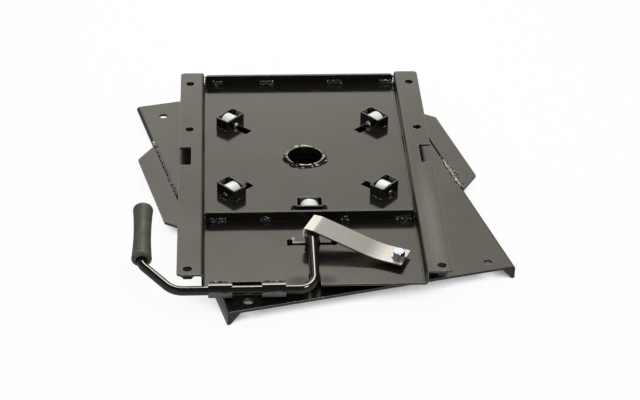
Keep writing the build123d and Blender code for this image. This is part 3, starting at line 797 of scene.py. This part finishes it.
def lever_grip():
    """The foam grip: waisted, with rounded ends and a mouth that the bar goes into."""
    profile = [(GRIP_BORE_R, GRIP_MOUTH_DEPTH), (GRIP_MOUTH_R, 0.0)]
    for index in range(GRIP_STEPS + 1):
        along = GRIP_LENGTH * (1 - math.cos(math.pi * index / GRIP_STEPS)) / 2
        swell = (2 * along / GRIP_LENGTH - 1) ** 2
        inside = max(0.0, GRIP_ROUND - min(along, GRIP_LENGTH - along))
        drop = GRIP_ROUND - math.sqrt(GRIP_ROUND**2 - inside**2)
        groove = GROOVE_DEPTH * math.exp(-(((along - GROOVE_AT) / GROOVE_WIDTH) ** 2))
        profile.append((GRIP_WAIST_R + (GRIP_END_R - GRIP_WAIST_R) * swell - drop - groove, along))
    near_end = Matrix.Translation((GRIP_X - LEVER_AXIS.x, GRIP_NEAR, 0.0))
    lying = Matrix.Rotation(-math.pi / 2, 4, "X")
    placing = Matrix.Translation(LEVER_AXIS) @ LEVER_RISE @ near_end @ lying
    grip = mesh_piece("lever_grip_foam", round_mesh(profile, GRIP_SEGMENTS, placing), FOAM)
    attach(grip, "lever")
    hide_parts("lever_grip")


def spring_bolt():
    """The spring's bolt, its hexagon head turned off at the corners."""
    low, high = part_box("spring_bolt")
    middle = SPRING_END + SPRING_TURN @ Vector((BOLT_INSET, 0.0, 0.0))
    under = high.z - BOLT_HEAD

    def levels_at(angle):
        """Shank, hexagon and top of the bolt at an angle."""
        side = BOLT_FLAT / math.cos((angle + math.pi / 2) % (math.pi / 3) - math.pi / 6)
        crown = high.z - (side - BOLT_TOP_R) * math.tan(BOLT_BEVEL)
        return (
            (BOLT_R, low.z), (BOLT_R, under), (side, under), (side, crown), (BOLT_TOP_R, high.z),
            (BOLT_FACE_R, high.z),
        )

    build, rings = turned(levels_at, BOLT_SEGMENTS, Matrix.Translation((middle.x, middle.y, 0.0)))
    close_ends(build, rings)
    bolt = mesh_piece("spring_bolt_head", smooth_mesh(build, sharp=20), ZINC)
    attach(bolt, "tray")
    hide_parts("spring_bolt")


def bumps(angle, places, width):
    """Soft bumps round a circle, 1 high at each place and so many degrees wide."""
    offs = [math.remainder(angle - math.radians(spot), math.tau) for spot in places]
    return sum(math.exp(-((off / math.radians(width)) ** 2)) for off in offs)


def waves(angle, rows):
    """Height of waves round a circle, from rows of (height, number, phase)."""
    return sum(height * math.sin(number * angle + phase) for height, number, phase in rows)


def rim_reach(angle):
    """How far the turned-over rim reaches at an angle: hammered, with ears, front petals and slits."""
    reach = RIM_REACH + waves(angle, REACH_WAVES)
    reach += (EAR_REACH - RIM_REACH) * bumps(angle, *EARS)
    reach += FRONT_REACH * bumps(angle, *FRONT_PETALS)
    return reach * (1 - SLIT_SHARE * bumps(angle, *SLITS))


def pivot_tube():
    """The pivot tube, its upper end beaten outwards over the tray floor."""
    low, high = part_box("pivot_tube")
    lip = high.z - RIM_RISE + RIM_GAP

    def levels_at(angle):
        """Foot, rim, crown and bore of the tube at an angle."""
        reach = rim_reach(angle)
        flat = min(1.0, bumps(angle, *FLATS))
        dent = min(1.0, max(bumps(angle, *SLIT_DENTS), bumps(angle, *DENTS)))
        crown = high.z - CROWN_DROP - waves(angle, CROWN_WAVES) - DENT_DEPTH * dent
        brow = PIVOT_R - BROW_IN + flat * (BROW_OUT[0] + BROW_OUT[1] * reach)
        shoulder = lip + SHOULDER_RISE + waves(angle, SHOULDER_WAVES)
        shoulder += flat * (crown - SHOULDER_DROP - shoulder)
        shoulder_out = (SHOULDER_SHARE[0] + SHOULDER_SHARE[1] * flat) * reach
        edge = lip + EDGE_RISE + waves(angle, EDGE_WAVES) + LIFT_RISE * bumps(angle, *LIFTS)
        edge += flat * (crown - EDGE_DROP - edge)
        return (
            (PIVOT_BORE_R, low.z), (PIVOT_R, low.z), (PIVOT_R, lip), (PIVOT_R + reach, lip),
            (PIVOT_R + reach, edge), (PIVOT_R + shoulder_out, shoulder), (brow, crown - BROW_DROP),
            *((PIVOT_BORE_R + out, crown - down) for out, down in MOUTH_ROUND), (PIVOT_BORE_R, low.z),
        )

    build, rings = turned(levels_at, RIM_SEGMENTS, Matrix.Identity(4))
    bmesh.ops.remove_doubles(build, verts=build.verts, dist=RIM_MERGE)
    tube = mesh_piece("pivot_rim", smooth_mesh(build, sharp=30), RIM_PAINT)
    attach(tube, "base")
    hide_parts("pivot_tube")


def domed(radius, height, foot, way):
    """Profile of a round head from its foot to its top."""
    steps = [DOME_ARC * index / DOME_STEPS for index in range(DOME_STEPS + 1)]
    rim = DOME_RIM * height
    arch = [(radius * math.cos(step), foot + way * (rim + (height - rim) * math.sin(step))) for step in steps]
    return [(radius, foot)] + arch


def axle_line(station):
    """Middle and direction of a roller's axle."""
    joint = JOINTS[f"{station}_roll"]
    return Vector(joint["pos_m"]), Vector(joint["axis"]).normalized()


def roller_axle(station):
    """An axle with its domed head towards the pivot and its riveted end outside."""
    middle, out = axle_line(station)
    if out.x * middle.x + out.y * middle.y < 0:
        out = -out
    half = HOUSING_WIDTH / 2
    head = domed(AXLE_HEAD_R, AXLE_HEAD, -half, -1)
    tail = domed(RIVET_HEAD_R, RIVET_HEAD, half, 1)
    profile = head[::-1] + [(AXLE_R, -half), (AXLE_R, half)] + tail
    placing = Matrix.Translation(middle) @ out.to_track_quat("Z", "Y").to_matrix().to_4x4()
    axle = mesh_piece(f"axle_{station}", round_mesh(profile, AXLE_SEGMENTS, placing), AXLE_ZINC)
    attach(axle, "tray")
    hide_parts(f"roller_axle_{station}")


# Welds

def weld_bead_tree():
    """Lays overlapping drops along the edges of a mesh, sized by its bead attribute."""
    tree, given, out = group_tree(
        "Weld Bead", "GeometryNodeTree",
        [("Geometry", "NodeSocketGeometry", None), ("Pitch", "NodeSocketFloat", BEAD_PITCH),
         ("Wander", "NodeSocketVector", None), ("Seed", "NodeSocketInt", 1),
         ("Material", "NodeSocketMaterial", None)],
        [("Geometry", "NodeSocketGeometry")],
    )
    line = add(tree, "GeometryNodeMeshToCurve", {"Mesh": given["Geometry"]})
    spaced = add(
        tree, "GeometryNodeResampleCurve",
        {"Curve": line.outputs[0], "Length": given["Pitch"]}, mode="LENGTH",
    )
    least = vector_node(tree, "MULTIPLY", given["Wander"], (-1.0, -1.0, -1.0))
    stray = add(
        tree, "FunctionNodeRandomValue",
        {0: least, 1: given["Wander"], "Seed": given["Seed"]}, data_type="FLOAT_VECTOR",
    )
    moved = add(tree, "GeometryNodeSetPosition", {"Geometry": spaced.outputs[0], "Offset": stray.outputs[0]})
    size = add(tree, "GeometryNodeInputNamedAttribute", {"Name": "bead"}, data_type="FLOAT")
    vary = add(
        tree, "FunctionNodeRandomValue",
        {2: BEAD_VARY[0], 3: BEAD_VARY[1], "Seed": given["Seed"]}, data_type="FLOAT",
    )
    scale = math_node(tree, "MULTIPLY", size.outputs[0], vary.outputs[1])
    drop = add(tree, "GeometryNodeMeshIcoSphere", {"Radius": 1.0, "Subdivisions": 3})
    laid = add(
        tree, "GeometryNodeInstanceOnPoints",
        {"Points": moved.outputs[0], "Instance": drop.outputs[0], "Scale": scale},
    )
    real = add(tree, "GeometryNodeRealizeInstances", {0: laid.outputs[0]})
    dressed = add(
        tree, "GeometryNodeSetMaterial", {"Geometry": real.outputs[0], "Material": given["Material"]},
    )
    feed(tree, out, {"Geometry": dressed.outputs[0]})
    return tree


WELD_BEAD = weld_bead_tree()
WELD_INPUTS = [item for item in WELD_BEAD.interface.items_tree if item.in_out == "INPUT"]
WELD_SOCKETS = {item.name: item.identifier for item in WELD_INPUTS}


def weld(name, body, finish, runs, seed, pitch=BEAD_PITCH, wander=BEAD_WANDER, voxel=BEAD_VOXEL):
    """One piece of weld metal on a body, from runs of (points, bead radius)."""
    points, edges, sizes = [], [], []
    for run, size in runs:
        edges += [(len(points) + index, len(points) + index + 1) for index in range(len(run) - 1)]
        points += [Vector(point) for point in run]
        sizes += [size] * len(run)
    lines = bpy.data.meshes.new("lines")
    lines.from_pydata(points, edges, [])
    lines.attributes.new("bead", "FLOAT", "POINT").data.foreach_set("value", sizes)
    path = bpy.data.objects.new("lines", lines)
    bpy.context.scene.collection.objects.link(path)
    laying = path.modifiers.new("weld_bead", "NODES")
    laying.node_group = WELD_BEAD
    for label, value in (("Pitch", pitch), ("Wander", wander), ("Seed", seed), ("Material", finish)):
        laying[WELD_SOCKETS[label]] = value
    melting = path.modifiers.new("melted", "REMESH")
    melting.mode = "VOXEL"
    melting.voxel_size = voxel
    melting.use_smooth_shade = True
    bpy.context.view_layer.update()
    mesh = bpy.data.meshes.new_from_object(path.evaluated_get(bpy.context.evaluated_depsgraph_get()))
    bpy.data.objects.remove(path)
    piece = mesh_piece(name, mesh, finish)
    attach(piece, body)


def on_base(x, y, z):
    """A place on the base plate, given in the plate's own frame."""
    return BASE_TURN @ Vector((x, y, z))


def bar_runs(bar, spans):
    """Stitches along the foot of a cross bar's front face, and up its two ends."""
    low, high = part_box(bar)
    runs = []
    for first, last in spans:
        for rise, size in STITCH_LAYERS:
            runs.append(([(first * MM, low.y, low.z + rise), (last * MM, low.y, low.z + rise)], size))
    foot, top = low.z + BAR_END_INSET[0], high.z - BAR_END_INSET[1]
    for x in (low.x, high.x):
        runs.append(([(x, low.y, foot), (x, low.y, top)], BAR_END_BEAD))
    return runs


def housing_runs(station, bead, outset=0.0):
    """Beads across the two short ends of a roller housing."""
    middle, out = axle_line(station)
    middle.z = 0.0
    along = Vector((-out.y, out.x, 0.0))
    reach = out * (HOUSING_WIDTH / 2 - HOUSING_INSET)
    ends = [middle + along * side * (HOUSING_LENGTH / 2 + outset) for side in (-1, 1)]
    return [([end - reach, end + reach], bead) for end in ends]


def bearing_runs(bearing):
    """Beads above and below the floor edge that a lever bearing is welded to."""
    low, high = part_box(bearing)
    first, last = low.x + BEARING_INSET, high.x - BEARING_INSET
    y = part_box("seat_tray")[0].y - BEARING_OUTSET
    return [([(first, y, z), (last, y, z)], bead) for z, bead in BEARING_LAYERS]


def weld_tray():
    """Welds of the cross bars, the roller housings and the lever bearings."""
    runs = bar_runs("rear_cross_bar", REAR_STITCHES)
    runs += bar_runs("front_cross_bar", FRONT_STITCHES)
    for station in STATIONS[:-1]:
        runs += housing_runs(station, HOUSING_BEAD)
    for side in ("left", "right"):
        runs += bearing_runs(f"lever_bearing_{side}")
    weld("tray_welds", "tray", WELD_PAINT_GLINTS, runs, seed=4)
    # fat black beads at the front-centre housing's ends: weld, and partly a dark stand-in for shade beside
    # the housing
    foot = housing_runs(STATIONS[-1], CENTRE_BEAD, CENTRE_OUTSET)
    weld("centre_housing_weld_and_shade", "tray", FOOT_PAINT, foot, seed=5)


def seam_run(side, first, last, bead):
    """A bead that fills the groove between the plate's folded edge and a wing."""
    x, z = side * (SEAM_X - SEAM_INSET), PLATE_TOP - SEAM_DEPTH
    return [on_base(x, first * MM, z), on_base(x, last * MM, z)], bead


def weld_base():
    """Seams of the wings, part of them bare, and the spatter beside the right one; all carry painted glints.
    """
    painted = [seam_run(*seam) for seam in PAINTED_SEAMS]
    weld("base_welds", "base", WELD_PAINT_GLINTS, painted, seed=7)
    bare = [seam_run(*seam) for seam in BARE_SEAMS]
    weld("wing_weld_bare", "base", BARE_WELD_AND_GLINT, bare, seed=9)
    specks = [([on_base(*start), on_base(*end)], SPECK) for start, end in SPECK_LINES]
    weld(
        "wing_spatter", "base", BARE_WELD_AND_GLINT, specks, seed=15, pitch=SPECK_PITCH,
        wander=SPECK_WANDER, voxel=SPECK_VOXEL,
    )


def weld_lever():
    """Beads down both edges of the locking blade's neck, the left one below the spring's lip."""
    low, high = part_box("locking_blade")
    y = (low.y + high.y) / 2
    edges = ((-NECK_BEAD_X, NECK_BEAD_LEFT_TOP), (NECK_BEAD_X, high.z - NECK_BEAD_INSET))
    runs = [([(x, y, NECK_BEAD_FOOT), (x, y, top)], NECK_BEAD) for x, top in edges]
    weld("lever_welds", "lever", WELD_PAINT_GLINTS, runs, seed=11)


# Studio

def set_camera():
    """The camera, where the photograph was taken from."""
    data = bpy.data.cameras.new("camera")
    data.lens = CAMERA_LENS
    data.sensor_width = SENSOR_WIDTH
    data.sensor_fit = "HORIZONTAL"
    camera = bpy.data.objects.new("camera", data)
    bpy.context.scene.collection.objects.link(camera)
    aim = (CAMERA_TARGET - CAMERA_PLACE).to_track_quat("-Z", "Y").to_matrix().to_4x4()
    camera.matrix_world = Matrix.Translation(CAMERA_PLACE) @ aim @ Matrix.Rotation(CAMERA_ROLL, 4, "Z")
    bpy.context.scene.camera = camera


def ray_kinds(tree):
    """Two values: 1 for rays straight from the camera or through something, and 1 for mirrored rays."""
    path = add(tree, "ShaderNodeLightPath").outputs
    direct = math_node(tree, "MAXIMUM", path["Is Camera Ray"], path["Is Transmission Ray"])
    return direct, path["Is Glossy Ray"]


def set_room():
    """White to the eye, softer as light, and for gloss a dark studio with one pale wall behind the object."""
    world = bpy.data.worlds.new("room")
    world.use_nodes = True
    bpy.context.scene.world = world
    tree = world.node_tree
    direct, mirrored = ray_kinds(tree)
    way = parts(tree, add(tree, "ShaderNodeTexCoord").outputs["Generated"])
    off_middle = math_node(tree, "ABSOLUTE", math_node(tree, "SUBTRACT", way["X"], WALL_MIDDLE))
    wall = remap(tree, off_middle, *WALL_SIDE, 1.0, 0.0)
    wall = math_node(tree, "MULTIPLY", wall, remap(tree, way["Y"], *WALL_FOOT))
    height, width = WALL_BAND
    least, rise, most = WALL_BRIGHT
    off_band = math_node(tree, "DIVIDE", math_node(tree, "SUBTRACT", way["Z"], height), width)
    bright = math_node(tree, "MULTIPLY_ADD", math_node(tree, "POWER", off_band, 2.0), rise, least)
    wall = math_node(tree, "MULTIPLY", wall, math_node(tree, "MINIMUM", bright, most))
    others = remap(tree, math_node(tree, "ABSOLUTE", way["X"]), *FAR_SIDE, *FAR_WALLS)
    others = math_node(tree, "MULTIPLY", others, remap(tree, way["Y"], *FAR_FOOT))
    wall = math_node(tree, "MAXIMUM", wall, others)
    wall = math_node(tree, "MULTIPLY", wall, remap(tree, way["Z"], *WALL_TOP, 1.0, 0.0))
    light = blend_values(tree, mirrored, ROOM_LIGHT, math_node(tree, "MAXIMUM", wall, DARK_ROOM))
    strength = blend_values(tree, direct, light, 1.0)
    feed(tree, tree.nodes["Background"], {"Color": WHITE, "Strength": strength})


def set_floor():
    """A pale floor that takes shadow and shows white to the eye, with painted shade close under the plate and
    round the pivot.
    """
    low = cad_box[0].z
    half = FLOOR_SIZE / 2
    mesh = bpy.data.meshes.new("floor")
    corners = [(-half, -half, low), (half, -half, low), (half, half, low), (-half, half, low)]
    mesh.from_pydata(corners, [], [(0, 1, 2, 3)])
    floor = bpy.data.objects.new("floor", mesh)
    bpy.context.scene.collection.objects.link(floor)
    made, tree, shader, spot = material("pale_floor")
    feed(tree, shader, {"Base Color": FLOOR_PALE, "Roughness": FLOOR_ROUGH})
    direct, mirrored = ray_kinds(tree)
    # painted shade: the floor's glow dims where parts close above hide its sky, and near the pivot
    sky = add(tree, "ShaderNodeAmbientOcclusion", {"Distance": SHADE_REACH}, samples=8).outputs["AO"]
    flat = vector_node(tree, "MULTIPLY", spot, (1.0, 1.0, 0.0))
    away = vector_node(tree, "LENGTH", flat, output="Value")
    lit = math_node(tree, "MULTIPLY", remap(tree, sky, *SHADE_OPEN), remap(tree, away, *PIVOT_SHADE))
    white = blend_colours(tree, mirrored, WHITE, FLOOR_GLOSS)
    glow = add(tree, "ShaderNodeEmission", {"Color": white, "Strength": lit})
    share = math_node(tree, "MAXIMUM", math_node(tree, "MULTIPLY", direct, FLOOR_GLOW), mirrored)
    mixed = add(tree, "ShaderNodeMixShader", {0: share, 1: shader.outputs[0], 2: glow.outputs[0]})
    feed(tree, tree.nodes["Material Output"], {"Surface": mixed.outputs[0]})
    mesh.materials.append(made)


def set_lamp(name, way, size, power):
    """An area lamp that looks at the middle of the object from the given way."""
    lamp = bpy.data.lights.new(name, "AREA")
    lamp.shape = "RECTANGLE"
    lamp.size, lamp.size_y = size
    lamp.energy = power
    holder = bpy.data.objects.new(name, lamp)
    bpy.context.scene.collection.objects.link(holder)
    middle = (cad_box[0] + cad_box[1]) / 2
    aim = way.to_track_quat("Z", "Y").to_matrix().to_4x4()
    holder.matrix_world = Matrix.Translation(middle + way.normalized() * LAMP_DISTANCE) @ aim
    holder.visible_camera = False


paint_nodes()
leaf_spring()
lever_grip()
spring_bolt()
pivot_tube()
for station in STATIONS:
    roller_axle(station)
weld_tray()
weld_base()
weld_lever()
set_camera()
set_room()
set_floor()
set_lamp("softbox", SOFTBOX_WAY, SOFTBOX_SIZE, SOFTBOX_POWER)
set_lamp("front_lamp", FRONT_LAMP_WAY, FRONT_LAMP_SIZE, FRONT_LAMP_POWER)
bpy.context.scene.view_settings.view_transform = "Standard"
